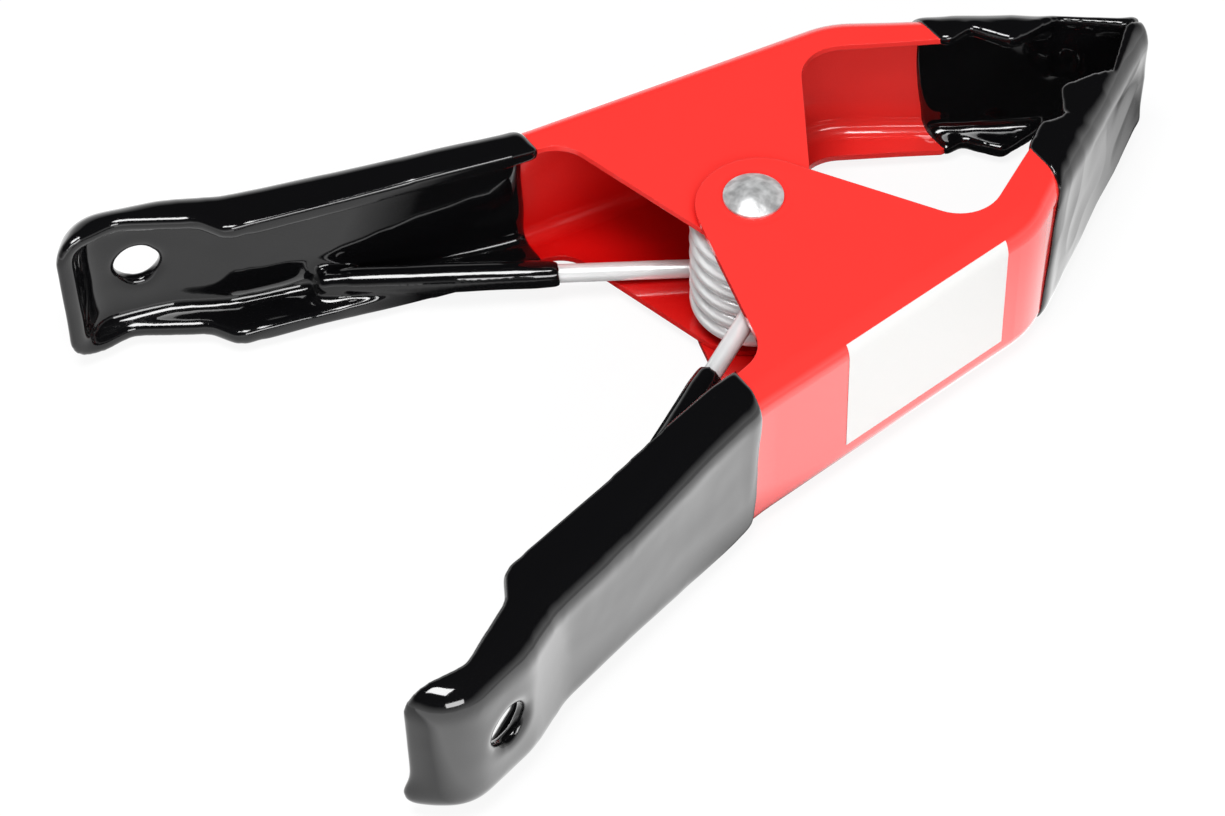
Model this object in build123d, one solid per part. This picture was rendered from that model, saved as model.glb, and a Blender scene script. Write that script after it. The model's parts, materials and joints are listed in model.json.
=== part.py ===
"""Spring clamp: two pressed steel halves on a rivet, a torsion spring and dipped PVC ends.

The clamp lies on its side.  +Z runs up the rivet, +X points to the jaws, and the inner half
is on the +Y side.  X and Y are zero on the rivet's axis, and Z is zero at the flat end of the
rivet's tail, on which the clamp lies.  The inner half is drawn first, about its mid plane.
The outer half is the same pressing with wider ears, mirrored to the -Y side.
"""

from build123d import *
import math
import os

# ---------------------------------------------------------------- driving dimensions, mm and degrees
SHEET = 1.4                 # steel sheet
BEND = 4.8                  # outer bend radius between web and flanges
COAT = 1.0                  # dipped PVC skin

EAR_RUNNING_GAP = 0.1       # between the nested ears, each side
EAR_RADIUS = 13.0           # round end of each ear
EAR_CENTRE = 2.5            # its centre from the rivet's axis, towards the web
EAR_HANDLE_LEAN = 14.5      # ear's handle-side edge from Y
EAR_JAW_LEAN = 31.6         # ear's jaw-side edge from Y
EAR_HANDLE_CORNER = 8.0     # radius where the ear runs into the handle's free edge
EAR_JAW_CORNER = 9.0        # radius where the ear runs into the jaw's free edge

WEB_AT_PIVOT = 42.0         # web's outer face from the rivet's axis
BODY_SLOPE = 7.0            # web from X, over the body
GRIP_SLOPE = 17.4           # over the grip
NECK_SLOPE = 30.0           # over the neck
END_SLOPE = 16.9            # beside the hang hole
HANDLE_START = 31.0         # along X, from the rivet to the bend into the handle
GRIP_LENGTH = 55.5          # along X, from that bend to the neck
NECK_LENGTH = 10.5          # along X
END_LENGTH = 20.0           # along X, from the neck to the curled lip
LIP_DEPTH = 9.0             # length of the curled lip
LIP_LEAN = 23.4             # lip from Y
JAW_START = 43.5            # along X, from the rivet to the bend into the jaw
JAW_REACH = 96.8            # along X, from the rivet to the tip
TIP_WEB = 2.5               # web's outer face from the plane between the jaws, at the tip

WEB_BEND_LIP = 10.0         # radii of the web's bends, seen along the rivet
WEB_BEND_END = 14.0
WEB_BEND_NECK = 25.0
WEB_BEND_HANDLE = 60.0
WEB_BEND_JAW = 22.0

HANDLE_DRAW = 0.6           # handle's flanges stand this much further in than the inner ears
JAW_SPLAY = 0.3             # the jaw's stand this much further out, where it begins
JAW_TIP_HALF = 14.6         # half height of both jaws at the tip
HANDLE_EASE_START = 15.0    # along X, from the bend into the handle to where its height changes
HANDLE_EASE_LENGTH = 20.0   # along X
HANDLE_EASE = 120.0         # radii where the flanges ease from one height to the next
JAW_EASE_START = 8.5        # along X, from the bend into the jaw
JAW_EASE_LENGTH = 13.0
JAW_EASE = 60.0

HANDLE_FLANGE = 8.1         # depth of the handle's flanges from the web, where the grip begins
FREE_EDGE_SLOPE = 14.5      # their free edge from X
SHOULDER_PAST_NECK = 4.0    # along X, from the neck's bend to where the free edge steps back
STEP_LENGTH = 3.2           # along X
STEP_FLANGE = 7.5           # depth that the step leaves
STEP_ROUND = 3.0            # radii of the free edge at that step and beside the hang hole
END_EDGE_ROUND = 8.0
END_EDGE_BACK = 9.0         # free edge's nearest point to the web, along X from the curl
END_FLANGE = 7.8            # its depth below the curl
LIP_EDGE_OUT = 1.7          # free edge past the lip's end, along X

JAW_FLANGE = 10.0           # depth of the jaw's flanges from the web, where the boot begins
JAW_FREE_SLOPE = 29.0       # their free edge from X
TOOTH_ROOT_FLANGE = 9.8     # depth of the flanges at the two points of the teeth
TOOTH_NOTCH_1 = 5.5         # depth that the first notch leaves
TOOTH_NOTCH_2 = 0.8         # depth that the second notch leaves
TOOTH_POINT_1_X = 36.6      # along X, back from the tip
TOOTH_NOTCH_1_X = 31.0
TOOTH_POINT_2_X = 25.8
TOOTH_NOTCH_2_X = 13.2
TIP_LAND = 2.5              # flat at the very tip, where the jaws meet
TOOTH_ROUND = 1.2           # radius of the teeth and notches
TIP_FREE_GAP = 0.1          # from the closed jaws' coating to the plane between them

BOOT_EDGE_PAST = 12.0       # where the jaw's flanges reach their depth, along X from its bend
INNER_GRIP_EDGE = (-27.5, 0.0)      # dips' edges: X on the mid plane, and lean from Z
OUTER_GRIP_EDGE = (-30.0, 4.0)
INNER_BOOT_EDGE = (58.9, -4.0)
OUTER_BOOT_EDGE = (50.0, 9.0)

HANG_HOLE_RADIUS = 4.75     # inside the coating
HANG_HOLE_FROM_CURL = 13.5  # along X

RIVET_SHANK = 4.0           # radius
RIVET_RUNNING_GAP = 0.05    # radial, in the ears
RIVET_HEAD_RADIUS = 6.1
RIVET_HEAD_RISE = 2.5
RIVET_HEAD_RIM = 0.5        # straight rim under the dome
RIVET_TAIL_RADIUS = 5.4
RIVET_TAIL_RISE = 1.6
RIVET_TAIL_CHAMFER = 1.4

WIRE_RADIUS = 1.75
TURN_GAP = 0.68             # between turns of the coil, along the rivet
COIL_EAR_GAP = 0.35         # from the coil's ends to the inner ears
COIL_RADIUS = 10.9          # to the wire's centre
COIL_WHOLE_TURNS = 6        # besides the part turns from leg to leg
LEG_REACH = 70.5            # along X, from the rivet to the leg's end
LEG_COAT_GAP = 0.25         # from the leg's end to the web's coating
LEG_RISE = 1.7              # each leg's end is this much nearer the mid plane than its start
SLEEVE_EDGE_BACK = 0.5      # dip's edge on the leg, along X from its edge on the web
SLEEVE_GAP = 0.3            # from wire to dip
SLEEVE_WALL = 0.8

LABEL_START = -7.0          # X of the label's handle-side edge
LABEL_LENGTH = 42.0
LABEL_LOW = -11.5           # label's lower and upper edges, from the mid plane
LABEL_HIGH = 16.6
LABEL_THICK = 0.12

GAP_STEP = 0.8              # spacing of the points on which the spring's gap is measured

# ---------------------------------------------------------------- reach of cutting shapes
FAR = 60.0                  # past the object
JOIN = 5.0                  # past the ends that trim them
CORNER_CUT = 8.0            # most that a rounded bend lies inside its corner


# ---------------------------------------------------------------- plane geometry
def slope(degrees):
    return math.tan(math.radians(degrees))


def unit(a, b):
    length = math.dist(a, b)
    return ((b[0] - a[0]) / length, (b[1] - a[1]) / length)


def beyond(a, b, extra):
    """The point `extra` past b on the line from a."""
    along = unit(a, b)
    return (b[0] + along[0] * extra, b[1] + along[1] * extra)


def crossing(p, d, q, e):
    """Where the line through p along d meets the line through q along e."""
    det = e[0] * d[1] - d[0] * e[1]
    s = (e[0] * (q[1] - p[1]) - e[1] * (q[0] - p[0])) / det
    return (p[0] + s * d[0], p[1] + s * d[1])


def distance_to_run(p, a, b):
    """Distance from p to the straight run from a to b."""
    length = math.dist(a, b)
    share = ((p[0] - a[0]) * (b[0] - a[0]) + (p[1] - a[1]) * (b[1] - a[1])) / length ** 2
    share = max(0.0, min(1.0, share))
    return math.dist(p, (a[0] + share * (b[0] - a[0]), a[1] + share * (b[1] - a[1])))


def rounded_path(points, radii):
    """Straight runs through the points, with an arc of its own radius at each inner point."""
    edges = []
    start = points[0]
    for before, corner, after, radius in zip(points, points[1:], points[2:], radii):
        into = unit(before, corner)
        out = unit(corner, after)
        turn = math.acos(max(-1.0, min(1.0, into[0] * out[0] + into[1] * out[1])))
        cut = radius * math.tan(turn / 2)
        first = (corner[0] - cut * into[0], corner[1] - cut * into[1])
        last = (corner[0] + cut * out[0], corner[1] + cut * out[1])
        inward = unit(into, out)
        sag = radius / math.cos(turn / 2) - radius
        middle = (corner[0] + sag * inward[0], corner[1] + sag * inward[1])
        edges += [Line(start, first), ThreePointArc(first, middle, last)]
        start = last
    edges.append(Line(start, points[-1]))
    return edges


# ---------------------------------------------------------------- the web's outline
def web_corners():
    """Corners of the web's outer face, from the lip to the tip."""
    bend = (-HANDLE_START, WEB_AT_PIVOT + HANDLE_START * slope(BODY_SLOPE))
    neck = (bend[0] - GRIP_LENGTH, bend[1] + GRIP_LENGTH * slope(GRIP_SLOPE))
    end = (neck[0] - NECK_LENGTH, neck[1] + NECK_LENGTH * slope(NECK_SLOPE))
    curl = (end[0] - END_LENGTH, end[1] + END_LENGTH * slope(END_SLOPE))
    lean = math.radians(LIP_LEAN)
    lip = (curl[0] - LIP_DEPTH * math.sin(lean), curl[1] - LIP_DEPTH * math.cos(lean))
    jaw = (JAW_START, WEB_AT_PIVOT - JAW_START * slope(BODY_SLOPE))
    tip = (JAW_REACH, TIP_WEB)
    return [lip, curl, end, neck, bend, jaw, tip]


def web_point(x, depth=0.0):
    """Y of the surface that lies `depth` inside the web's outer face, on a straight run at x."""
    for a, b in zip(web_corners()[1:], web_corners()[2:]):
        if b[0] >= x >= a[0]:
            rise = (b[1] - a[1]) / (b[0] - a[0])
            return a[1] + (x - a[0]) * rise - depth * math.hypot(1.0, rise)
    raise ValueError("no web at that x")


def web_run():
    """The web's corners, with both ends carried on past where the free edge trims them."""
    corners = web_corners()
    corners[0] = beyond(corners[1], corners[0], JOIN)
    corners[-1] = beyond(corners[-2], corners[-1], JOIN)
    return corners


def plan_face():
    """Everything on the rivet's side of the web's outer face, seen along the rivet."""
    corners = web_run()
    radii = [WEB_BEND_LIP, WEB_BEND_END, WEB_BEND_NECK, WEB_BEND_HANDLE, WEB_BEND_JAW]
    web = rounded_path(corners, radii)
    start, end = corners[0], corners[-1]
    back = Polyline(end, (end[0], -FAR), (start[0], -FAR), start)
    return make_face([*web, *back.edges()])


# ---------------------------------------------------------------- the spring's wire
def leg_line():
    """Lean of the inner half's leg from X, and the centres where it leaves the coil and ends."""
    depth = SHEET + COAT + LEG_COAT_GAP + WIRE_RADIUS
    end = (-LEG_REACH, web_point(-LEG_REACH, depth))
    lean = math.acos(COIL_RADIUS / math.hypot(*end)) - math.atan2(LEG_REACH, end[1])
    leaves = (COIL_RADIUS * math.sin(lean), COIL_RADIUS * math.cos(lean))
    return lean, leaves, end


def coil_pitch():
    return 2 * WIRE_RADIUS + TURN_GAP


def coil_turn():
    """Angle from leg to leg, in radians."""
    lean = leg_line()[0]
    return 2 * (math.pi / 2 - lean) + 2 * math.pi * COIL_WHOLE_TURNS


def coil_half():
    """Height from the mid plane at which each leg's centre leaves the coil."""
    return coil_pitch() * coil_turn() / (4 * math.pi)


def leg_run():
    """Centres where the inner half's leg leaves the coil and where it ends."""
    leaves, end = leg_line()[1:]
    low = -coil_half()
    return Vector(*leaves, low), Vector(*end, low + LEG_RISE)


def biarc(p, t, q, u):
    """Two arcs that run from p along t to q along u."""
    v = q - p
    s = t + u
    a = 2 * (1 - t.dot(u))
    d = (-v.dot(s) + math.sqrt(v.dot(s) ** 2 + a * v.dot(v))) / a
    joint = (p + q + (t - u) * d) * 0.5
    first = Edge.make_tangent_arc(p, t, joint)
    return [first, Edge.make_tangent_arc(joint, first % 1, q)]


def spring_path():
    """From the end of the inner half's leg, clockwise up the coil, to the outer half's."""
    lean, leaves, end = leg_line()
    leg_leaves, leg_end = leg_run()
    turn = coil_turn()
    climb = coil_pitch() / (2 * math.pi)
    leg_drop = -COIL_RADIUS * LEG_RISE / math.dist(leaves, end)
    leave_angle = math.pi / 2 - lean
    inner_turned = [leave_angle + i * math.pi / 2 for i in range(4 * COIL_WHOLE_TURNS + 1)]
    places = []
    for turned in [0.0, *inner_turned, turn]:
        angle = leave_angle - turned
        height = leg_leaves.Z + climb * turned
        place = Vector(COIL_RADIUS * math.cos(angle), COIL_RADIUS * math.sin(angle), height)
        rising = climb if turned in inner_turned else leg_drop
        along = Vector(COIL_RADIUS * math.sin(angle), -COIL_RADIUS * math.cos(angle), rising)
        places.append((place, along.normalized()))
    edges = [Edge.make_line(leg_end, places[0][0])]
    for (p, t), (q, u) in zip(places, places[1:]):
        edges += biarc(p, t, q, u)
    edges.append(Edge.make_line(places[-1][0], Vector(leg_end.X, -leg_end.Y, -leg_end.Z)))
    return Wire(edges)


def torsion_spring(path):
    section = Plane(origin=path @ 0, z_dir=path % 0) * Circle(WIRE_RADIUS)
    return sweep(section, path=path)


def least_gap(path):
    """Clear distance between the wire and itself, measured on points along its centre."""
    count = int(path.length / GAP_STEP)
    points = [path @ (i / count) for i in range(count + 1)]
    skip = int(4 * math.pi * WIRE_RADIUS / GAP_STEP)
    nearest = min((points[i] - points[j]).length
                  for i in range(count + 1) for j in range(i + skip, count + 1))
    return nearest - 2 * WIRE_RADIUS


# ---------------------------------------------------------------- heights that fit round the coil
INNER_EAR_HALF = coil_half() + WIRE_RADIUS + COIL_EAR_GAP + SHEET   # half height over the inner ears
OUTER_EAR_HALF = INNER_EAR_HALF + EAR_RUNNING_GAP + SHEET
HANDLE_HALF = INNER_EAR_HALF - HANDLE_DRAW
JAW_ROOT_HALF = INNER_EAR_HALF + JAW_SPLAY
REST_Z = OUTER_EAR_HALF + RIVET_TAIL_RISE   # mid plane above the rivet's tail
BOOT_EDGE_X = JAW_START + BOOT_EDGE_PAST


# ---------------------------------------------------------------- one pressed half
def tangent_from_ear(lean, side):
    """Where a line that leans from Y leaves the ear's circle, and its direction upwards."""
    a = math.radians(lean)
    direction = (side * math.sin(a), math.cos(a))
    point = (side * EAR_RADIUS * math.cos(a), EAR_CENTRE - EAR_RADIUS * math.sin(a))
    return point, direction


def jaw_edge_point(back, depth):
    """A point of the jaw's free edge, `back` from the tip and `depth` below the web's face."""
    x = JAW_REACH - back
    return (x, web_point(x) - depth)


def free_edge_face():
    """Plan of the flanges: from their free edges out past the web, with the ear's round end."""
    lip, curl, _, neck, bend, _, _ = web_corners()
    lip_edge = (lip[0] - LIP_EDGE_OUT, lip[1])
    end_edge = (curl[0] + END_EDGE_BACK, curl[1] - END_FLANGE)
    grip_edge = (bend[0], bend[1] - HANDLE_FLANGE)
    handle_dir = (-1.0, slope(FREE_EDGE_SLOPE))
    shoulder_x = neck[0] - SHOULDER_PAST_NECK
    shoulder = (shoulder_x, grip_edge[1] + (grip_edge[0] - shoulder_x) * handle_dir[1])
    step = (shoulder_x - STEP_LENGTH, web_point(shoulder_x - STEP_LENGTH, STEP_FLANGE))
    left, left_dir = tangent_from_ear(EAR_HANDLE_LEAN, -1.0)
    right, right_dir = tangent_from_ear(EAR_JAW_LEAN, 1.0)
    ear_handle = crossing(left, left_dir, grip_edge, handle_dir)
    boot_edge = (BOOT_EDGE_X, web_point(BOOT_EDGE_X) - JAW_FLANGE)
    ear_jaw = crossing(right, right_dir, boot_edge, (1.0, -slope(JAW_FREE_SLOPE)))
    teeth = [jaw_edge_point(TOOTH_POINT_1_X, TOOTH_ROOT_FLANGE),
             jaw_edge_point(TOOTH_NOTCH_1_X, TOOTH_NOTCH_1),
             jaw_edge_point(TOOTH_POINT_2_X, TOOTH_ROOT_FLANGE),
             jaw_edge_point(TOOTH_NOTCH_2_X, TOOTH_NOTCH_2)]
    tip = (JAW_REACH, TIP_FREE_GAP + COAT)
    land = (JAW_REACH - TIP_LAND, tip[1])
    handle_side = rounded_path([lip_edge, end_edge, step, shoulder, ear_handle, left],
                               [END_EDGE_ROUND, STEP_ROUND, STEP_ROUND, EAR_HANDLE_CORNER])
    ear_end = ThreePointArc(left, (0.0, EAR_CENTRE - EAR_RADIUS), right)
    jaw_side = rounded_path([right, ear_jaw, *teeth, land], [EAR_JAW_CORNER] + [TOOTH_ROUND] * len(teeth))
    far_y = WEB_AT_PIVOT + FAR
    far_x = lip_edge[0] - FAR
    rim = Polyline(land, tip, (JAW_REACH, far_y), (far_x, far_y), (far_x, lip_edge[1]), lip_edge)
    return make_face([*handle_side, ear_end, *jaw_side, *rim.edges()])


def side_face(ear_half, grow):
    """Side view of one half, from above its mid plane to below it."""
    ease_handle = -HANDLE_START - HANDLE_EASE_START
    ease_jaw = JAW_START + JAW_EASE_START
    far_x = -JAW_REACH - 2 * FAR
    top = [(far_x, HANDLE_HALF), (ease_handle - HANDLE_EASE_LENGTH, HANDLE_HALF),
           (ease_handle, ear_half), (ease_jaw, ear_half),
           (ease_jaw + JAW_EASE_LENGTH, JAW_ROOT_HALF), (JAW_REACH + JOIN, JAW_TIP_HALF)]
    raised = [(x, half + grow) for x, half in top]
    upper = rounded_path(raised, [HANDLE_EASE, HANDLE_EASE, JAW_EASE, JAW_EASE])
    lower = [mirror(edge, about=Plane.XZ) for edge in upper]
    ends = [Line((x, half), (x, -half)) for x, half in (raised[0], raised[-1])]
    return make_face([*upper, *lower, *ends])


def joins_web(edge, grow):
    """True for an edge between the web and a flange."""
    corners = web_run()
    reach = abs(grow) + CORNER_CUT
    for place in (edge @ 0, edge @ 0.5, edge @ 1):
        if min(distance_to_run((place.X, place.Y), a, b) for a, b in zip(corners, corners[1:])) > reach:
            return False
    along = edge % 0.5
    upright = abs(along.Z) > math.cos(math.radians(45))
    cut_back = abs(along.Y) > math.cos(math.radians(2))
    return not upright and not cut_back


def bent_block(ear_half, grow):
    """The solid inside a half's outer skin, grown by `grow` (negative inwards)."""
    plan = plan_face()
    if grow != 0.0:
        plan = offset(plan, amount=grow, kind=Kind.INTERSECTION)
    prism = extrude(plan, amount=FAR, both=True)
    side = extrude(Plane.XZ * side_face(ear_half, grow), amount=3 * FAR, both=True)
    block = prism & side
    bends = [edge for edge in block.edges() if joins_web(edge, grow)]
    return fillet(bends, radius=BEND + grow)


def channel(ear_half, grow=0.0):
    """One half's pressed channel, with `grow` of coating over every face and edge."""
    outside = bent_block(ear_half, grow)
    inside = bent_block(ear_half, -SHEET - grow)
    flanges = free_edge_face()
    if grow != 0.0:
        flanges = offset(flanges, amount=grow, kind=Kind.ARC)
    return (outside - inside) & extrude(flanges, amount=FAR, both=True)


def hang_hole(radius):
    """A cylinder through the web, square to it."""
    x = web_corners()[1][0] + HANG_HOLE_FROM_CURL
    lean = math.radians(END_SLOPE)
    normal = Vector(math.sin(lean), math.cos(lean), 0)
    centre = Vector(x, web_point(x, SHEET / 2), 0)
    start = Plane(origin=centre - normal * JOIN, z_dir=normal)
    return extrude(start * Circle(radius), amount=2 * JOIN)


def pressed_half(ear_half):
    """The bare steel half, with its rivet hole and hang hole."""
    rivet_hole = Cylinder(RIVET_SHANK + RIVET_RUNNING_GAP, 2 * FAR)
    return channel(ear_half) - rivet_hole - hang_hole(HANG_HOLE_RADIUS + COAT)


# ---------------------------------------------------------------- dipped ends
def past_edge(edge, away):
    """Everything on one side of a dip's edge; away is 1 towards the tip and -1 towards the lip."""
    x, lean = edge
    return Pos(x, 0, 0) * Rot(0, lean, 0) * Pos(away * 2 * FAR, 0, 0) * Box(4 * FAR, 8 * FAR, 8 * FAR)


def leg_bar(radius, start_x, past):
    """A round bar along the inner half's leg, from start_x to `past` beyond its end."""
    leaves, end = leg_run()
    start = leaves + (end - leaves) * ((start_x - leaves.X) / (end.X - leaves.X))
    length = (end - start).length + past
    return extrude(Plane(origin=start, z_dir=end - start) * Circle(radius), amount=length)


def dipped_grip(ear_half, steel, edge, leg_side):
    """Coating of one handle, with the sleeve that runs out over the spring's leg.

    leg_side is 1 where the leg lies as on the inner half, and -1 where it lies at the top.
    """
    skin = channel(ear_half, COAT) & past_edge(edge, -1)
    bore_radius = WIRE_RADIUS + SLEEVE_GAP
    sleeve = leg_bar(bore_radius + SLEEVE_WALL, edge[0] - SLEEVE_EDGE_BACK, SLEEVE_GAP + SLEEVE_WALL)
    bore = leg_bar(bore_radius, edge[0] + JOIN, SLEEVE_GAP)
    if leg_side < 0:
        sleeve = mirror(sleeve, about=Plane.XY)
        bore = mirror(bore, about=Plane.XY)
    return skin + sleeve - bore - steel - hang_hole(HANG_HOLE_RADIUS)


def dipped_boot(ear_half, steel, edge):
    """Coating of one jaw."""
    return (channel(ear_half, COAT) & past_edge(edge, 1)) - steel


# ---------------------------------------------------------------- rivet and label
def pivot_rivet():
    """Domed head above, shank through both pairs of ears, upset tail below."""
    top = OUTER_EAR_HALF
    foot = -top - RIVET_TAIL_RISE
    rim = top + RIVET_HEAD_RIM
    crown = top + RIVET_HEAD_RISE
    dome_rise = RIVET_HEAD_RISE - RIVET_HEAD_RIM
    dome_radius = (RIVET_HEAD_RADIUS ** 2 + dome_rise ** 2) / (2 * dome_rise)
    half_way = math.asin(RIVET_HEAD_RADIUS / dome_radius) / 2
    dome_middle = (dome_radius * math.sin(half_way), crown - dome_radius * (1 - math.cos(half_way)))
    tail = [(0, foot), (RIVET_TAIL_RADIUS - RIVET_TAIL_CHAMFER, foot),
            (RIVET_TAIL_RADIUS, foot + RIVET_TAIL_CHAMFER / 2), (RIVET_TAIL_RADIUS, -top)]
    shank = [(RIVET_SHANK, -top), (RIVET_SHANK, top)]
    head = [(RIVET_HEAD_RADIUS, top), (RIVET_HEAD_RADIUS, rim)]
    profile = Polyline(*tail, *shank, *head).edges()
    profile += ThreePointArc(head[-1], dome_middle, (0, crown)).edges()
    profile += Line((0, crown), (0, foot)).edges()
    return revolve(Plane.XZ * make_face(profile), axis=Axis.Z)


def label():
    """Paper label on a web, run up over the bend to the upper flange."""
    paper = bent_block(OUTER_EAR_HALF, LABEL_THICK) - bent_block(OUTER_EAR_HALF, 0.0)
    place = Pos(LABEL_START + LABEL_LENGTH / 2, WEB_AT_PIVOT, (LABEL_LOW + LABEL_HIGH) / 2)
    return paper & place * Box(LABEL_LENGTH, WEB_AT_PIVOT, LABEL_HIGH - LABEL_LOW)


# ---------------------------------------------------------------- the clamp
def across(shape):
    """The same piece on the outer half's side."""
    return mirror(shape, about=Plane.XZ)


inner_half = pressed_half(INNER_EAR_HALF)
outer_half = pressed_half(OUTER_EAR_HALF)
wire_path = spring_path()
wire = torsion_spring(wire_path)

nodes = {
    "inner_half": inner_half,
    "inner_grip": dipped_grip(INNER_EAR_HALF, inner_half, INNER_GRIP_EDGE, leg_side=1),
    "inner_jaw_boot": dipped_boot(INNER_EAR_HALF, inner_half, INNER_BOOT_EDGE),
    "outer_half": across(outer_half),
    "outer_grip": across(dipped_grip(OUTER_EAR_HALF, outer_half, OUTER_GRIP_EDGE, leg_side=-1)),
    "outer_jaw_boot": across(dipped_boot(OUTER_EAR_HALF, outer_half, OUTER_BOOT_EDGE)),
    "pivot_rivet": pivot_rivet(),
    "torsion_spring": wire,
    "label": across(label()),
}

os.makedirs("parts", exist_ok=True)
for name, shape in nodes.items():
    export_step(Pos(0, 0, REST_Z) * shape, f"parts/{name}.step")

full_section = math.pi * WIRE_RADIUS ** 2 * wire_path.length
print(f"spring: {coil_turn() / (2 * math.pi):.2f} turns, wire {wire_path.length:.1f} mm long")
print(f"spring: volume over section times length {wire.volume / full_section:.4f}")
print(f"spring: least gap to itself {least_gap(wire_path):.2f} mm")
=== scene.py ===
"""Dresses a packed spring clamp: painted halves, dipped PVC ends, sprung wire, zinc rivet, bare label."""

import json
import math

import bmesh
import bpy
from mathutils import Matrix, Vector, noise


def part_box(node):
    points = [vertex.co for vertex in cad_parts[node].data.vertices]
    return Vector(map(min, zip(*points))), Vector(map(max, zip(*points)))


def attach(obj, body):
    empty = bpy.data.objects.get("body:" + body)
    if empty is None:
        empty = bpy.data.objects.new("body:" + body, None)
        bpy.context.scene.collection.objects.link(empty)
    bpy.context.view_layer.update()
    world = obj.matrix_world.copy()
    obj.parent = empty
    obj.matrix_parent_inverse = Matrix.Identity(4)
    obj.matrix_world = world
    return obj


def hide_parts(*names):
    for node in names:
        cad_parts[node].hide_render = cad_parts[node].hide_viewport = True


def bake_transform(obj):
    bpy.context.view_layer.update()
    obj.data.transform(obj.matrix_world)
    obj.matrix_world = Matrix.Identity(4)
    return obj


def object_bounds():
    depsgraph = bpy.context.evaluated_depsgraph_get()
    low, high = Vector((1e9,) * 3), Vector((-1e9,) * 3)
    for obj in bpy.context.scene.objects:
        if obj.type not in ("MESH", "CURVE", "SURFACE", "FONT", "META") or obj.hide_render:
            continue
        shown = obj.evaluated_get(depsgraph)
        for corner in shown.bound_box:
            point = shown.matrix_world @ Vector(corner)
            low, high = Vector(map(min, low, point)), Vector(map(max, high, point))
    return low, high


bl_info = {
    "name": "Spring Clamp Dressing",
    "version": (1, 0, 0),
    "blender": (4, 5, 0),
    "location": "View3D > Sidebar > Clamp",
    "description": "Finishes, soft forms and studio for a spring clamp with dipped ends",
    "category": "Object",
}

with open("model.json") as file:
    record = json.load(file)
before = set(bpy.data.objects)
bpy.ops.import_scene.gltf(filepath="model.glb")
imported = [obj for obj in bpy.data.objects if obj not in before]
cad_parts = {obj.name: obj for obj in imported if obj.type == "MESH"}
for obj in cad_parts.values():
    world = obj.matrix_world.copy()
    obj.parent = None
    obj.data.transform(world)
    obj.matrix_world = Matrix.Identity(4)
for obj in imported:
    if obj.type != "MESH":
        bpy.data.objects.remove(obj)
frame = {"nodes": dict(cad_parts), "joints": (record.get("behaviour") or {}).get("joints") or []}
CAD_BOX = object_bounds()

MM = 0.001
HALVES = ("inner", "outer")
MID_Z = frame["joints"][0]["pos_m"][2]      # mid plane of the clamp, from the pivot

SMOOTH_SHARES = (1.0, 0.8, 0.6)             # nested zones that are softened one after another
SLUMP_STEP = 0.2                            # power of a share by which a handle's zones step outwards
SLEEVE_ZONE = 1.5                           # widest zone round a sleeve's end, in drip sizes
LEG_END_IN = 2.0 * MM                       # centre of a leg's end from the spring's widest point
LEG_END_SHARE = 0.4                         # its height from the mid plane, as a share of the coil's height
DRIP_WAY = Vector((-0.65, 0.6, -0.3))       # the way the drip ran while the clamp hung to dry
DRIP_INSET = 5.0 * MM                       # drip's centre from the outer handle's lower corner, in Y and Z
CREASE_LEVEL = 0.25                         # noise at which a crease neither rises nor sinks
RUN_PLACE = Vector((7.0, 3.0, 5.0))         # places in the noise, so that runs, creases and wander differ
CREASE_PLACE = Vector((2.0, 5.0, 9.0))
WANDER_PLACE = Vector((1.0, 8.0, 2.0))

RING_RADIUS = 7.4 * MM                      # ring pressed round the rivet's head
RING_WIDTH = 0.9 * MM
HOLLOW_REACH = 45.0 * MM                    # how far the painted shade looks for walls that shut the light out

# Painted shade on the floor, which only gloss mirrors: dark under the clamp, lighter between the handles
SHADE_HALF = 39.0 * MM                      # half width of the clamp's painted shade on the floor, under the rivet
SHADE_TAPER = 0.33                          # how it narrows from the handles to the jaws
SHADE_IN, SHADE_OUT = 4.0 * MM, 6.0 * MM    # its soft edge to both sides of that line
OPEN_FROM, OPEN_TO = -46.0 * MM, -60.0 * MM     # X where the painted shade lifts between the handles
OPEN_LEAN = 0.2
JAWS_FROM, JAWS_TO = 35.0 * MM, 75.0 * MM   # X where the floor's painted light dims beside the jaws

# name: place, width and height, watts
SOFTBOXES = {
    "softbox_above": ((-0.24, -0.16, 0.95), (0.42, 0.34), 8.0),
    "softbox_front": ((-0.25, -1.0, 0.55), (0.6, 0.3), 6.0),
}


# ---------------------------------------------------------------- sizes and colours
def length(name, description, millimetres):
    """A length that the user can set, in metres."""
    return bpy.props.FloatProperty(name=name, description=description, default=millimetres * MM,
                                   min=0.0, precision=5, subtype="DISTANCE", unit="LENGTH")


def coordinate(name, description, millimetres):
    """A coordinate that the user can set, in metres."""
    return bpy.props.FloatProperty(name=name, description=description, default=millimetres * MM,
                                   precision=5, subtype="DISTANCE", unit="LENGTH")


def whole(name, description, value, least):
    return bpy.props.IntProperty(name=name, description=description, default=value, min=least)


def amount(name, description, value):
    return bpy.props.FloatProperty(name=name, description=description, default=value, min=0.0, precision=4)


def colour(name, description, value):
    return bpy.props.FloatVectorProperty(name=name, description=description, default=value,
                                         size=3, min=0.0, max=1.0, subtype="COLOR")


def degrees(name, description, value):
    return bpy.props.FloatProperty(name=name, description=description, default=math.radians(value),
                                   subtype="ANGLE", unit="ROTATION")


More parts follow.
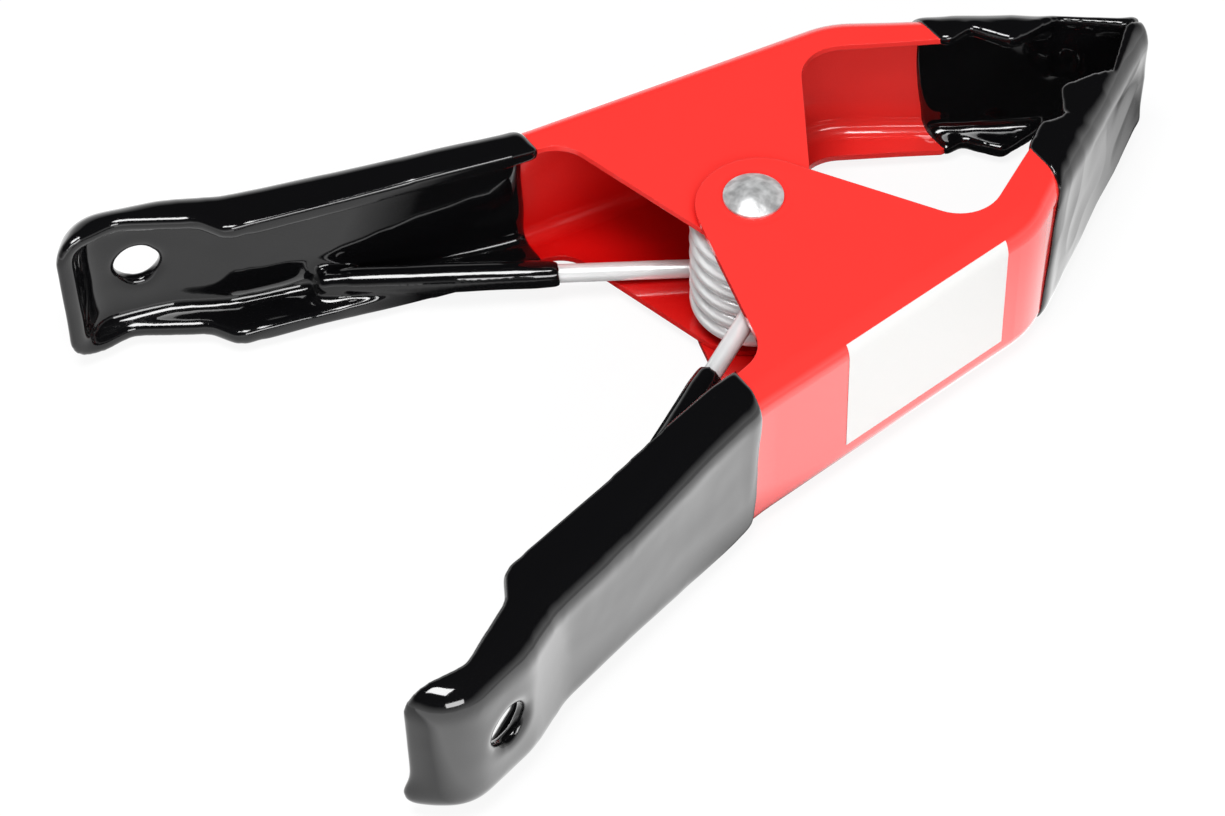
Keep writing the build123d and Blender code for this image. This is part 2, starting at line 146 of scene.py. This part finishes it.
class ClampDip(bpy.types.PropertyGroup):
    """How the PVC runs over the steel."""

    cell: length("Cell", "Size of the mesh cells that the skin is poured from", 0.45)
    grip_grain: degrees("Grips' grain", "Lean of the handles' free edges from X, which the cells take", 14.5)
    jaw_boot_grain: degrees("Boots' grain", "Lean of the jaws' free edges from X, which the cells take", 29.0)
    melt: whole("Melt", "Passes that round the skin's edges, and as many again on the jaws", 12, 0)
    slump: whole("Slump", "Passes shared by the zones at the handles' ends", 40, 0)
    slump_from: length("Slump from", "Distance from the rivet beyond which a handle's end is rounder", 86.0)
    bead: length("Bead", "How far the skin swells along its free edges", 0.55)
    bead_round: length("Bead rounding", "Radius of the edges that swell by the whole bead", 1.6)
    bead_spread: whole("Bead spread", "Passes that even the swelling out along the edge", 6, 0)
    bead_melt: whole("Bead melt", "Passes that round the swollen edges", 5, 0)
    ripple: length("Ripple", "Height of the slow waves that the liquid leaves", 0.26)
    ripple_size: length("Ripple size", "Distance between those waves", 17.0)
    sag: length("Sag", "Height of the small runs and dimples", 0.03)
    sag_size: length("Sag size", "Distance between runs", 5.0)
    fold: length("Fold", "Height of the creases in the jaws' skins", 0.4)
    fold_size: length("Fold size", "Distance between creases", 13.0)
    calm: length("Calm", "Distance from the dip's edge over which waves, runs and creases set in", 6.0)
    feather: length("Feather", "How much thinner the skin gets towards its edge", 0.55)
    feather_reach: length("Feather reach", "Distance over which it gets thinner", 3.5)
    edge_wander: length("Edge wander", "How far the dip's edge strays from straight", 0.5)
    wander_size: length("Wander size", "Distance between the strays", 9.0)
    wander_reach: length("Wander reach", "Distance from the edge over which the skin strays with it", 5.0)
    drip: length("Drip", "How far the drip stands out at the outer handle's end", 2.0)
    drip_size: length("Drip size", "Radius of the drip, which also sizes a sleeve's soft end", 4.5)
    inner_grip: degrees("Inner grip's edge", "Lean of the dip's edge from upright", 0.0)
    outer_grip: degrees("Outer grip's edge", "Lean of the dip's edge from upright", 4.0)
    inner_jaw_boot: degrees("Inner boot's edge", "Lean of the dip's edge from upright", -4.0)
    outer_jaw_boot: degrees("Outer boot's edge", "Lean of the dip's edge from upright", 9.0)


class ClampWire(bpy.types.PropertyGroup):
    """Wire of the torsion spring."""

    radius: length("Wire radius", "Radius of the wire", 1.75)
    plump: length("Plump", "Extra radius of the drawn wire, which closes the turns up", 0.2)
    coil: length("Coil radius", "Radius of the coil, to the wire's centre", 10.9)
    reach: length("Leg reach", "Distance along X from the rivet to the legs' ends", 70.5)
    rise: length("Leg rise", "How much nearer the mid plane a leg's end lies than its start", 1.7)
    whole_turns: whole("Whole turns", "Turns besides the part turns at the legs", 6, 1)
    sides: whole("Sides", "Sides of the wire's section", 28, 8)
    steps: whole("Steps", "Steps in a whole turn", 72, 12)


class ClampPaint(bpy.types.PropertyGroup):
    """Colours of the clamp's finishes."""

    red: colour("Paint", "Glossy paint on the pressed halves", (0.88, 0.036, 0.030))
    # Painted shade: a deeper red put on the paint in its hollows and away from the jaws
    painted_shade_red: colour("Deep paint", "The same paint in the hollows", (0.52, 0.002, 0.002))
    black: colour("Dip", "Dipped PVC", (0.003, 0.003, 0.0034))
    zinc: colour("Zinc", "Zinc plate on the rivet and the spring", (0.92, 0.93, 0.935))
    paper: colour("Paper", "Bare label", (0.66, 0.66, 0.65))
    floor: colour("Floor", "Floor and backdrop", (0.92, 0.92, 0.92))
    edge_round: length("Edge rounding", "Radius that the paint leaves on the sheet's edges", 0.4)


class ClampView(bpy.types.PropertyGroup):
    """Where the clamp is looked at from."""

    azimuth: degrees("Azimuth", "Turn of the view about Z, from a look along +Y", -31.92)
    elevation: degrees("Elevation", "Height of the view above the floor", 48.45)
    roll: degrees("Roll", "Turn of the picture about the view", -1.63)
    distance: length("Distance", "From the camera to what it looks at", 755.5)
    lens: bpy.props.FloatProperty(name="Lens", default=113.6, min=1.0,
                                  description="Focal length, in millimetres of a 36 mm wide sensor")
    look_at_x: coordinate("Look at X", "X of the point looked at, on the mid plane", -45.3)
    look_at_y: coordinate("Look at Y", "Y of the point looked at, on the mid plane", -17.55)


class ClampGlow(bpy.types.PropertyGroup):
    """How bright the studio is, where 1 is white."""

    daylight: amount("Daylight", "Light from all round", 0.45)
    low_sky: amount("Low sky", "What gloss mirrors near the horizon", 1.2)
    high_sky: amount("High sky", "What gloss mirrors overhead", 0.012)
    # Painted light and shade of the floor, which only gloss mirrors: brighter than white beside the handles,
    # dark under the clamp
    painted_light_floor: amount("Open floor", "What gloss mirrors of the floor beside the handles", 1.8)
    jaw_floor: amount("Jaw floor", "What gloss mirrors of the floor beside the jaws", 0.9)
    handle_floor: amount("Handle floor", "What gloss mirrors of the floor between the handles", 0.8)
    painted_shade_floor: amount("Shaded floor", "What gloss mirrors of the floor under the clamp", 0.015)
    clean_floor: amount("Clean floor", "Share of white in the floor as it is seen, over its shadows", 0.88)


# ---------------------------------------------------------------- shader maths
class Number:
    """A socket that carries a number, on which Python's operators add Math nodes."""

    def __init__(self, finish, socket):
        self.finish = finish
        self.socket = socket

    def maths(self, operation, *terms):
        made = self.finish.node("ShaderNodeMath", {"operation": operation}, dict(enumerate(terms)))
        return Number(self.finish, made.outputs[0])

    def __add__(self, other):
        return self.maths("ADD", self, other)

    def __radd__(self, other):
        return self.maths("ADD", other, self)

    def __sub__(self, other):
        return self.maths("SUBTRACT", self, other)

    def __rsub__(self, other):
        return self.maths("SUBTRACT", other, self)

    def __mul__(self, other):
        return self.maths("MULTIPLY", self, other)

    def __rmul__(self, other):
        return self.maths("MULTIPLY", other, self)

    def __truediv__(self, other):
        return self.maths("DIVIDE", self, other)

    def __pow__(self, other):
        return self.maths("POWER", self, other)

    def __abs__(self):
        return self.maths("ABSOLUTE", self)

    def clamped(self):
        return self.maths("MINIMUM", self.maths("MAXIMUM", self, 0.0), 1.0)


class Finish:
    """One material or world, built node by node."""

    def __init__(self, owner):
        owner.use_nodes = True
        self.owner = owner
        self.tree = owner.node_tree
        self.tree.nodes.clear()

    def node(self, kind, settings=None, sockets=None):
        """A node of that type: its settings first, then its sockets' values or links."""
        made = self.tree.nodes.new(kind)
        for key, value in (settings or {}).items():
            setattr(made, key, value)
        for key, value in (sockets or {}).items():
            self.feed(made.inputs[key], value)
        return made

    def feed(self, socket, value):
        if isinstance(value, Number):
            value = value.socket
        if isinstance(value, bpy.types.NodeSocket):
            self.tree.links.new(value, socket)
        elif socket.type == "RGBA" and len(value) == 3:
            socket.default_value = (*value, 1.0)
        else:
            socket.default_value = value

    def number(self, made, output=0):
        return Number(self, made.outputs[output])

    def axes(self, vector):
        """X, Y and Z of a vector."""
        apart = self.node("ShaderNodeSeparateXYZ", sockets={"Vector": vector})
        return [self.number(apart, axis) for axis in "XYZ"]

    def place(self):
        """The point on the piece, in metres."""
        return self.node("ShaderNodeTexCoord").outputs["Object"]

    def clouds(self, size, detail=2.0, roughness=0.5, place=None):
        """Soft noise from 0 to 1, with features about `size` metres across."""
        made = self.node("ShaderNodeTexNoise", sockets={
            "Vector": place or self.place(), "Scale": 1.0 / size, "Detail": detail, "Roughness": roughness})
        return self.number(made, "Fac")

    def mix(self, factor, first, second):
        """A colour between two others."""
        made = self.node("ShaderNodeMix", {"data_type": "RGBA"})
        self.feed(made.inputs[0], factor)
        self.feed(made.inputs[6], first)
        self.feed(made.inputs[7], second)
        return made.outputs[2]

    def blend(self, factor, first, second):
        """A shader between two others."""
        made = self.node("ShaderNodeMixShader")
        self.feed(made.inputs[0], factor)
        self.feed(made.inputs[1], first.outputs[0])
        self.feed(made.inputs[2], second.outputs[0])
        return made

    def bump(self, height, strength, depth, normal=None):
        sockets = {"Height": height, "Strength": strength, "Distance": depth}
        if normal is not None:
            sockets["Normal"] = normal
        return self.node("ShaderNodeBump", sockets=sockets).outputs["Normal"]

    def rounded(self, radius):
        """Normals that round sharp edges."""
        return self.node("ShaderNodeBevel", {"samples": 6}, {"Radius": radius}).outputs["Normal"]

    def surface(self, sockets):
        """Ends the material with the one shader that carries it."""
        shader = self.node("ShaderNodeBsdfPrincipled", sockets=sockets)
        self.node("ShaderNodeOutputMaterial", sockets={"Surface": shader.outputs[0]})
        return self.owner


def new_finish(name):
    return Finish(bpy.data.materials.new(name))


def ramp(finish, value, low, high):
    """Value carried from 0 at low to 1 at high."""
    made = finish.node("ShaderNodeMapRange", {"clamp": True},
                       {"Value": value, "From Min": low, "From Max": high})
    return finish.number(made)


# ---------------------------------------------------------------- finishes
def red_paint(paint):
    """Glossy powder coat: faint orange peel, rounded edges, a pressed ring, and painted shade as a deeper red
    in the hollows.
    """
    finish = new_finish("red_paint")
    place = finish.place()
    x, y, _ = finish.axes(place)
    from_rivet = (x * x + y * y) ** 0.5
    ring = 1.0 - (abs(from_rivet - RING_RADIUS) / RING_WIDTH).clamped()
    peel = finish.clouds(2.6 * MM, detail=3.0, place=place)
    tone = finish.clouds(38.0 * MM, detail=1.0, place=place)
    red = Vector(paint.red)
    body = finish.mix(tone, tuple(red * 0.96), tuple(red))
    # Painted shade: ambient occlusion turns the red deeper in the hollows, less so towards the jaws
    sky = finish.node("ShaderNodeAmbientOcclusion", {"samples": 8}, {"Distance": HOLLOW_REACH})
    in_the_open = ramp(finish, finish.number(sky, "AO"), 0.35, 0.85)
    near_jaws = ramp(finish, x, 20.0 * MM, 60.0 * MM)
    body = finish.mix((in_the_open + 0.8 * near_jaws).clamped(), tuple(paint.painted_shade_red), body)
    normal = finish.bump(ring * -1.0, 0.35, 0.25 * MM, finish.rounded(paint.edge_round))
    normal = finish.bump(peel, 0.10, 0.06 * MM, normal)
    return finish.surface({
        "Base Color": body, "Roughness": 0.14 + 0.08 * finish.clouds(7.0 * MM, place=place),
        "IOR": 1.3, "Coat Weight": 1.0, "Coat Roughness": 0.05, "Coat IOR": 1.5, "Normal": normal})


def black_dip(paint):
    """Glossy PVC: wet waves, fine pits and a few pale scuffs."""
    finish = new_finish("black_dip")
    place = finish.place()
    waves = finish.clouds(9.0 * MM, detail=1.5, place=place)
    pits = finish.clouds(0.9 * MM, detail=2.0, place=place)
    scuffs = ramp(finish, finish.clouds(1.6 * MM, detail=4.0, roughness=0.7, place=place), 0.70, 0.80)
    patches = ramp(finish, finish.clouds(22.0 * MM, detail=2.0, place=place), 0.52, 0.70)
    worn = scuffs * patches
    body = finish.mix(worn * 0.5, tuple(paint.black), (0.11, 0.11, 0.105))
    normal = finish.bump(waves, 0.15, 0.5 * MM, finish.rounded(0.8 * MM))
    normal = finish.bump(pits, 0.03, 0.05 * MM, normal)
    return finish.surface({
        "Base Color": body, "Roughness": 0.07 + 0.05 * patches + 0.25 * worn,
        "IOR": 1.25, "Coat Weight": 1.0, "Coat Roughness": 0.03, "Coat IOR": 1.5, "Normal": normal})


def zinc(paint, name, grain, roughness, dulling, bumps, metal):
    """Zinc plate with a mottled grain: dulling darkens its haze, and a low metal makes it milky."""
    finish = new_finish(name)
    place = finish.place()
    spangle = finish.clouds(grain, detail=3.0, roughness=0.65, place=place)
    haze = finish.clouds(grain * 3.0, detail=2.0, place=place)
    bright = Vector(paint.zinc)
    body = finish.mix(ramp(finish, haze, 0.35, 0.7), tuple(bright * dulling), tuple(bright))
    normal = finish.bump(spangle, bumps, 0.10 * MM, finish.rounded(0.25 * MM))
    return finish.surface({
        "Base Color": body, "Metallic": metal, "Roughness": roughness + 0.15 * spangle, "Normal": normal})


def paper(paint):
    """Smooth label stock, bare."""
    finish = new_finish("white_paper")
    fibre = finish.clouds(0.5 * MM, detail=4.0)
    white = Vector(paint.paper)
    return finish.surface({
        "Base Color": finish.mix(fibre, tuple(white * 0.97), tuple(white)), "Roughness": 0.42,
        "Coat Weight": 0.15, "Normal": finish.bump(fibre, 0.08, 0.03 * MM)})


def dress(piece, material):
    """Gives the piece its one finish."""
    piece.data.materials.clear()
    piece.data.materials.append(material)


# ---------------------------------------------------------------- pieces
def mesh_piece(name, form):
    """An object at the origin that holds the bmesh."""
    mesh = bpy.data.meshes.new(name)
    form.to_mesh(mesh)
    form.free()
    piece = bpy.data.objects.new(name, mesh)
    bpy.context.scene.collection.objects.link(piece)
    return piece


def shade_smooth(form):
    for face in form.faces:
        face.smooth = True


def smooth(form, verts, passes):
    for _ in range(passes):
        bmesh.ops.smooth_vert(form, verts=verts, factor=0.5, use_axis_x=True, use_axis_y=True,
                              use_axis_z=True)


def dip_edge(node, away, lean):
    """X of the dip's edge on the mid plane."""
    low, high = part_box(node)
    overhang = (high.z - low.z) / 2 * math.tan(abs(lean))
    return low.x + overhang if away > 0 else high.x - overhang


def past_edge(at, edge, away):
    """How far a point lies from the dip's edge towards the dipped end."""
    edge_x, lean = edge
    return (at.x - edge_x - (at.z - MID_Z) * math.tan(lean)) * away


def poured(name, skin, steel, edge, away, grain, dip):
    """The dipped end as one body of PVC, steel and all, poured over the CAD skin and rounded.

    edge is the X of the dip's edge on the mid plane and its lean from upright, away is the
    X direction from there to the dipped end, and grain turns the free edges onto X.
    """
    edge_x, lean = edge
    form = bmesh.new()
    form.from_mesh(steel.data)
    bmesh.ops.remove_doubles(form, verts=form.verts, dist=0.005 * MM)
    everything = form.verts[:] + form.edges[:] + form.faces[:]
    cut = bmesh.ops.bisect_plane(form, geom=everything, plane_co=(edge_x, 0, MID_Z), clear_outer=True,
                                 plane_no=(-away * math.cos(lean), 0, away * math.sin(lean)))
    rims = [item for item in cut["geom_cut"] if isinstance(item, bmesh.types.BMEdge)]
    bmesh.ops.triangle_fill(form, edges=rims, use_beauty=True)
    form.from_mesh(skin.data)
    bmesh.ops.rotate(form, verts=form.verts, cent=(0, 0, 0), matrix=Matrix.Rotation(grain, 3, "Z"))
    piece = mesh_piece(name, form)
    remesh = piece.modifiers.new("Pour", "REMESH")
    remesh.mode = "VOXEL"
    remesh.voxel_size = dip.cell
    graph = bpy.context.evaluated_depsgraph_get()
    cast = bpy.data.meshes.new_from_object(piece.evaluated_get(graph))
    piece.modifiers.clear()
    melted = bmesh.new()
    melted.from_mesh(cast)
    bmesh.ops.rotate(melted, verts=melted.verts, cent=(0, 0, 0), matrix=Matrix.Rotation(-grain, 3, "Z"))
    smooth(melted, melted.verts, dip.melt)
    soften(melted, name, dip)
    melted.normal_update()
    swell_edges(melted, edge, away, dip)
    for vert in melted.verts:
        ripple_vertex(vert, edge, away, dip)
    shade_smooth(melted)
    melted.to_mesh(piece.data)
    melted.free()
    bpy.data.meshes.remove(cast)
    return piece


def soften(form, name, dip):
    """Rounds a handle's end and the end of the leg's sleeve further, and hangs a drip on the outer handle."""
    low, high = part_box("torsion_spring")
    side = 1 if name.startswith("inner") else -1
    sleeve_end = Vector((low.x, side * (high.y - LEG_END_IN),
                         MID_Z - side * (high.z - low.z) * LEG_END_SHARE))
    if "jaw" in name:
        smooth(form, form.verts, dip.melt)
    for share in SMOOTH_SHARES:
        start = -dip.slump_from / share ** SLUMP_STEP
        smooth(form, [vert for vert in form.verts if vert.co.x < start], dip.slump // 3)
        reach = SLEEVE_ZONE * share * dip.drip_size
        smooth(form, [vert for vert in form.verts if (vert.co - sleeve_end).length < reach], dip.slump // 2)
    if name.startswith("outer"):
        low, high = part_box("outer_half")
        corner = Vector((low.x, low.y + DRIP_INSET, low.z + DRIP_INSET))
        for vert in form.verts:
            share = math.exp(-((vert.co - corner).length / dip.drip_size) ** 2)
            vert.co += DRIP_WAY * dip.drip * share


def swell_edges(form, edge, away, dip):
    """Pushes the rounded free edges out into beads, by how sharply each point of the skin bends."""
    pushes = []
    for vert in form.verts:
        around = [link.other_vert(vert).co for link in vert.link_edges]
        middle = sum(around, Vector()) / len(around)
        reach = sum((co - vert.co).length_squared for co in around) / len(around)
        bend = 4.0 * (vert.co - middle).dot(vert.normal) / reach
        inward = min(1.0, max(0.0, past_edge(vert.co, edge, away) / dip.feather_reach - 1.0))
        pushes.append(min(1.0, max(0.0, bend * dip.bead_round)) * dip.bead * inward)
    form.verts.index_update()
    for _ in range(dip.bead_spread):
        pushes = [sum(pushes[link.other_vert(vert).index] for link in vert.link_edges) / len(vert.link_edges)
                  for vert in form.verts]
    for vert, push in zip(form.verts, pushes):
        vert.co += vert.normal * push
    smooth(form, form.verts, dip.bead_melt)
    form.normal_update()


def ripple_vertex(vert, edge, away, dip):
    """Moves one point by waves, runs, creases on the jaws, the thin margin and the edge's wander."""
    at = vert.co.copy()
    wave = noise.noise(at / dip.ripple_size) * dip.ripple
    run = noise.noise(at / dip.sag_size + RUN_PLACE) * dip.sag
    crease = 0.0
    if away > 0:
        crease = (CREASE_LEVEL - abs(noise.noise(at / dip.fold_size + CREASE_PLACE))) * dip.fold
    in_from_edge = past_edge(at, edge, away)
    fade = min(1.0, max(0.0, in_from_edge / dip.calm))
    thin = max(0.0, 1.0 - in_from_edge / dip.feather_reach)
    vert.co += vert.normal * ((wave + run + crease) * fade - dip.feather * thin ** 2)
    near_edge = max(0.0, 1.0 - in_from_edge / dip.wander_reach)
    vert.co.x += noise.noise(at / dip.wander_size + WANDER_PLACE) * dip.edge_wander * near_edge


def leg_lean(wire, end):
    """Lean from X of the line from the coil's side to the leg's end."""
    return math.acos(wire.coil / end.length) - math.atan2(-end.x, end.y)


def wound_wire(wire):
    """One leg, the coil and the other leg, drawn from a circle that is spun and pushed along."""
    low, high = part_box("torsion_spring")
    bottom, top = low.z + wire.radius, high.z - wire.radius
    drawn = wire.radius + wire.plump
    end = Vector((-wire.reach, leg_end_y(wire)))
    lean = leg_lean(wire, end)
    turn = 2 * (math.pi / 2 - lean) + 2 * math.pi * wire.whole_turns
    steps = round(wire.steps * turn / (2 * math.pi))
    out = Vector((math.sin(lean), math.cos(lean), 0.0))
    leaves = Vector((out.x * wire.coil, out.y * wire.coil, bottom))
    leg = Vector((end.x, end.y, bottom + wire.rise)) - leaves
    along = leg.normalized()
    form = bmesh.new()
    section = Matrix((out, along.cross(out), along)).transposed().to_4x4()
    section.translation = leaves
    ring = bmesh.ops.create_circle(form, cap_ends=False, segments=wire.sides, radius=drawn, matrix=section)
    first = list({edge for vert in ring["verts"] for edge in vert.link_edges})
    climb = Vector((0, 0, (top - bottom) / steps))
    wound = bmesh.ops.spin(form, geom=first, cent=(0, 0, 0), axis=(0, 0, -1), dvec=climb, angle=turn,
                           steps=steps, use_duplicate=False)
    last = [item for item in wound["geom_last"] if isinstance(item, bmesh.types.BMEdge)]
    push_leg(form, first, along, leg.length, drawn)
    push_leg(form, last, Vector((along.x, -along.y, -along.z)), leg.length, drawn)
    bmesh.ops.recalc_face_normals(form, faces=form.faces)
    shade_smooth(form)
    return mesh_piece("torsion_spring_wire", form)


def leg_end_y(wire):
    """Y of the inner leg's end: its far side is the spring's widest point."""
    low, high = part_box("torsion_spring")
    guess = high.y
    for _ in range(8):
        lean = leg_lean(wire, Vector((-wire.reach, guess)))
        guess = high.y - wire.radius * math.cos(lean)
    return guess


def push_leg(form, rim, along, reach, drawn):
    """Runs the wire straight on from the rim and closes its end with a small chamfer."""
    chamfer = drawn * 0.15
    for distance, shrink in ((reach - chamfer, 1.0), (chamfer, 0.85)):
        pushed = bmesh.ops.extrude_edge_only(form, edges=rim)["geom"]
        verts = [item for item in pushed if isinstance(item, bmesh.types.BMVert)]
        rim = [item for item in pushed if isinstance(item, bmesh.types.BMEdge)
               and item.verts[0] in verts and item.verts[1] in verts]
        bmesh.ops.translate(form, verts=verts, vec=along * distance)
        centre = sum((vert.co for vert in verts), Vector()) / len(verts)
        bmesh.ops.scale(form, verts=verts, vec=(shrink, shrink, shrink), space=Matrix.Translation(-centre))
    bmesh.ops.contextual_create(form, geom=rim)


# ---------------------------------------------------------------- operators
class CLAMP_OT_paint_halves(bpy.types.Operator):
    """Paints both pressed halves"""

    bl_idname = "clamp.paint_halves"
    bl_label = "Paint halves"

    def execute(self, context):
        material = red_paint(context.scene.clamp_paint)
        for half in HALVES:
            dress(frame["nodes"][f"{half}_half"], material)
        return {"FINISHED"}


class CLAMP_OT_dip_ends(bpy.types.Operator):
    """Pours the PVC over both handles and both jaws"""

    bl_idname = "clamp.dip_ends"
    bl_label = "Dip ends"

    def execute(self, context):
        dip = context.scene.clamp_dip
        material = black_dip(context.scene.clamp_paint)
        for half in HALVES:
            steel = frame["nodes"][f"{half}_half"]
            for end, away in (("grip", -1), ("jaw_boot", 1)):
                node = f"{half}_{end}"
                lean = getattr(dip, node)
                edge = (dip_edge(node, away, lean), lean)
                grain = getattr(dip, f"{end}_grain") * (1 if half == "inner" else -1)
                piece = poured(f"{node}_skin", frame["nodes"][node], steel, edge, away, grain, dip)
                dress(piece, material)
                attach(piece, half)
                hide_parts(node)
        return {"FINISHED"}


class CLAMP_OT_wind_spring(bpy.types.Operator):
    """Winds the torsion spring"""

    bl_idname = "clamp.wind_spring"
    bl_label = "Wind spring"

    def execute(self, context):
        wire = context.scene.clamp_wire
        piece = wound_wire(wire)
        material = zinc(context.scene.clamp_paint, "spring_wire", grain=2.5 * MM, roughness=0.24,
                        dulling=0.90, bumps=0.01, metal=0.40)
        dress(piece, material)
        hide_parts("torsion_spring")
        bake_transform(piece)
        return {"FINISHED"}


class CLAMP_OT_set_rivet(bpy.types.Operator):
    """Plates the rivet"""

    bl_idname = "clamp.set_rivet"
    bl_label = "Set rivet"

    def execute(self, context):
        material = zinc(context.scene.clamp_paint, "zinc_rivet", grain=0.8 * MM, roughness=0.42,
                        dulling=0.50, bumps=0.75, metal=0.7)
        dress(frame["nodes"]["pivot_rivet"], material)
        return {"FINISHED"}


class CLAMP_OT_stick_label(bpy.types.Operator):
    """Sticks the bare label on"""

    bl_idname = "clamp.stick_label"
    bl_label = "Stick label"

    def execute(self, context):
        dress(frame["nodes"]["label"], paper(context.scene.clamp_paint))
        return {"FINISHED"}


def area_light(name, place, towards, size, watts):
    """A soft box at a place, aimed at a point."""
    lamp = bpy.data.lights.new(name, "AREA")
    lamp.shape = "RECTANGLE"
    lamp.size, lamp.size_y = size
    lamp.energy = watts
    box = bpy.data.objects.new(name, lamp)
    box.location = place
    box.rotation_euler = (Vector(towards) - Vector(place)).to_track_quat("-Z", "Y").to_euler()
    bpy.context.scene.collection.objects.link(box)


def grey(level):
    return (level, level, level)


def floor_finish(paint, glow):
    """Floor that looks white, and that gloss mirrors with a painted shade under the clamp and painted light
    beside it.
    """
    finish = new_finish("studio_floor")
    x, y, _ = finish.axes(finish.place())
    # Painted shade and light for gloss only: dark under the clamp and between the handles, brighter than
    # white beside them
    outside = ramp(finish, abs(y) + x * SHADE_TAPER, SHADE_HALF - SHADE_IN, SHADE_HALF + SHADE_OUT)
    open_end = ramp(finish, x + y * OPEN_LEAN, OPEN_FROM, OPEN_TO)
    beside_jaws = ramp(finish, x, JAWS_FROM, JAWS_TO)
    around = finish.mix(beside_jaws, grey(glow.painted_light_floor), grey(glow.jaw_floor))
    shade = finish.mix(open_end, grey(glow.painted_shade_floor), grey(glow.handle_floor))
    rays = finish.node("ShaderNodeLightPath")
    seen = finish.number(rays, "Is Camera Ray")
    mirrored = (finish.number(rays, "Is Glossy Ray") + finish.number(rays, "Is Transmission Ray")).clamped()
    matt = finish.node("ShaderNodeBsdfDiffuse", sockets={"Color": tuple(paint.floor)})
    white = finish.node("ShaderNodeEmission", sockets={"Color": grey(1.0)})
    painted_floor_gloss = finish.node("ShaderNodeEmission", sockets={"Color": finish.mix(outside, shade, around)})
    surface = finish.blend(seen * glow.clean_floor, matt, white)
    surface = finish.blend(mirrored, surface, painted_floor_gloss)
    finish.node("ShaderNodeOutputMaterial", sockets={"Surface": surface.outputs[0]})
    return finish.owner


def studio_world(glow):
    """White for the camera, a soft grey dome for light, and dark overhead for the gloss."""
    world = bpy.data.worlds.new("studio")
    finish = Finish(world)
    *_, height = finish.axes(finish.node("ShaderNodeTexCoord").outputs["Generated"])
    dome = finish.mix(ramp(finish, height, 0.02, 0.45), grey(glow.low_sky), grey(glow.high_sky))
    rays = finish.node("ShaderNodeLightPath")
    light = finish.mix(finish.number(rays, "Is Glossy Ray"), grey(glow.daylight), dome)
    shown = finish.mix(finish.number(rays, "Is Camera Ray"), light, grey(1.0))
    background = finish.node("ShaderNodeBackground", sockets={"Color": shown, "Strength": 1.0})
    finish.node("ShaderNodeOutputWorld", sockets={"Surface": background.outputs[0]})
    return world


def view_camera(view):
    """Camera at its azimuth, elevation and roll about a point on the mid plane."""
    azimuth, elevation = view.azimuth, view.elevation
    back = Vector((math.sin(azimuth) * math.cos(elevation), -math.cos(azimuth) * math.cos(elevation),
                   math.sin(elevation)))
    right = Vector((math.cos(azimuth), math.sin(azimuth), 0.0))
    up = back.cross(right)
    across = right * math.cos(view.roll) + up * math.sin(view.roll)
    upward = up * math.cos(view.roll) - right * math.sin(view.roll)
    placed = Matrix((across, upward, back)).transposed().to_4x4()
    placed.translation = Vector((view.look_at_x, view.look_at_y, MID_Z)) + back * view.distance
    lens = bpy.data.cameras.new("view_camera")
    lens.lens = view.lens
    lens.sensor_width = 36.0
    lens.clip_start = 10 * MM
    camera = bpy.data.objects.new("view_camera", lens)
    camera.matrix_world = placed
    bpy.context.scene.collection.objects.link(camera)
    return camera


class CLAMP_OT_lay_stage(bpy.types.Operator):
    """Lays the floor and sets the lights and the camera"""

    bl_idname = "clamp.lay_stage"
    bl_label = "Lay stage"

    def execute(self, context):
        form = bmesh.new()
        bmesh.ops.create_grid(form, x_segments=1, y_segments=1, size=4.0)
        floor = mesh_piece("studio_floor", form)
        glow = context.scene.clamp_glow
        floor.data.materials.append(floor_finish(context.scene.clamp_paint, glow))
        middle = (CAD_BOX[0] + CAD_BOX[1]) / 2
        for name, (spot, size, watts) in SOFTBOXES.items():
            area_light(name, spot, middle, size, watts)
        context.scene.world = studio_world(glow)
        context.scene.camera = view_camera(context.scene.clamp_view)
        context.scene.view_settings.view_transform = "Standard"
        return {"FINISHED"}


OPERATORS = (CLAMP_OT_paint_halves, CLAMP_OT_dip_ends, CLAMP_OT_wind_spring, CLAMP_OT_set_rivet,
             CLAMP_OT_stick_label, CLAMP_OT_lay_stage)
GROUPS = {"clamp_dip": ClampDip, "clamp_wire": ClampWire, "clamp_paint": ClampPaint, "clamp_view": ClampView,
          "clamp_glow": ClampGlow}


class CLAMP_PT_panel(bpy.types.Panel):
    """Lists the clamp's sizes, colours and steps"""

    bl_idname = "CLAMP_PT_panel"
    bl_label = "Spring clamp"
    bl_space_type = "VIEW_3D"
    bl_region_type = "UI"
    bl_category = "Clamp"

    def draw(self, context):
        for name, group in GROUPS.items():
            box = self.layout.box()
            for key in group.__annotations__:
                box.prop(getattr(context.scene, name), key)
        for operator in OPERATORS:
            self.layout.operator(operator.bl_idname)


def register():
    for group in GROUPS.values():
        bpy.utils.register_class(group)
    for name, group in GROUPS.items():
        setattr(bpy.types.Scene, name, bpy.props.PointerProperty(type=group))
    for operator in OPERATORS:
        bpy.utils.register_class(operator)
    bpy.utils.register_class(CLAMP_PT_panel)


def unregister():
    bpy.utils.unregister_class(CLAMP_PT_panel)
    for operator in reversed(OPERATORS):
        bpy.utils.unregister_class(operator)
    for name in GROUPS:
        delattr(bpy.types.Scene, name)
    for group in reversed(GROUPS.values()):
        bpy.utils.unregister_class(group)


def main():
    register()
    bpy.ops.clamp.paint_halves()
    bpy.ops.clamp.dip_ends()
    bpy.ops.clamp.wind_spring()
    bpy.ops.clamp.set_rivet()
    bpy.ops.clamp.stick_label()
    bpy.ops.clamp.lay_stage()


if __name__ == "__main__":
    main()
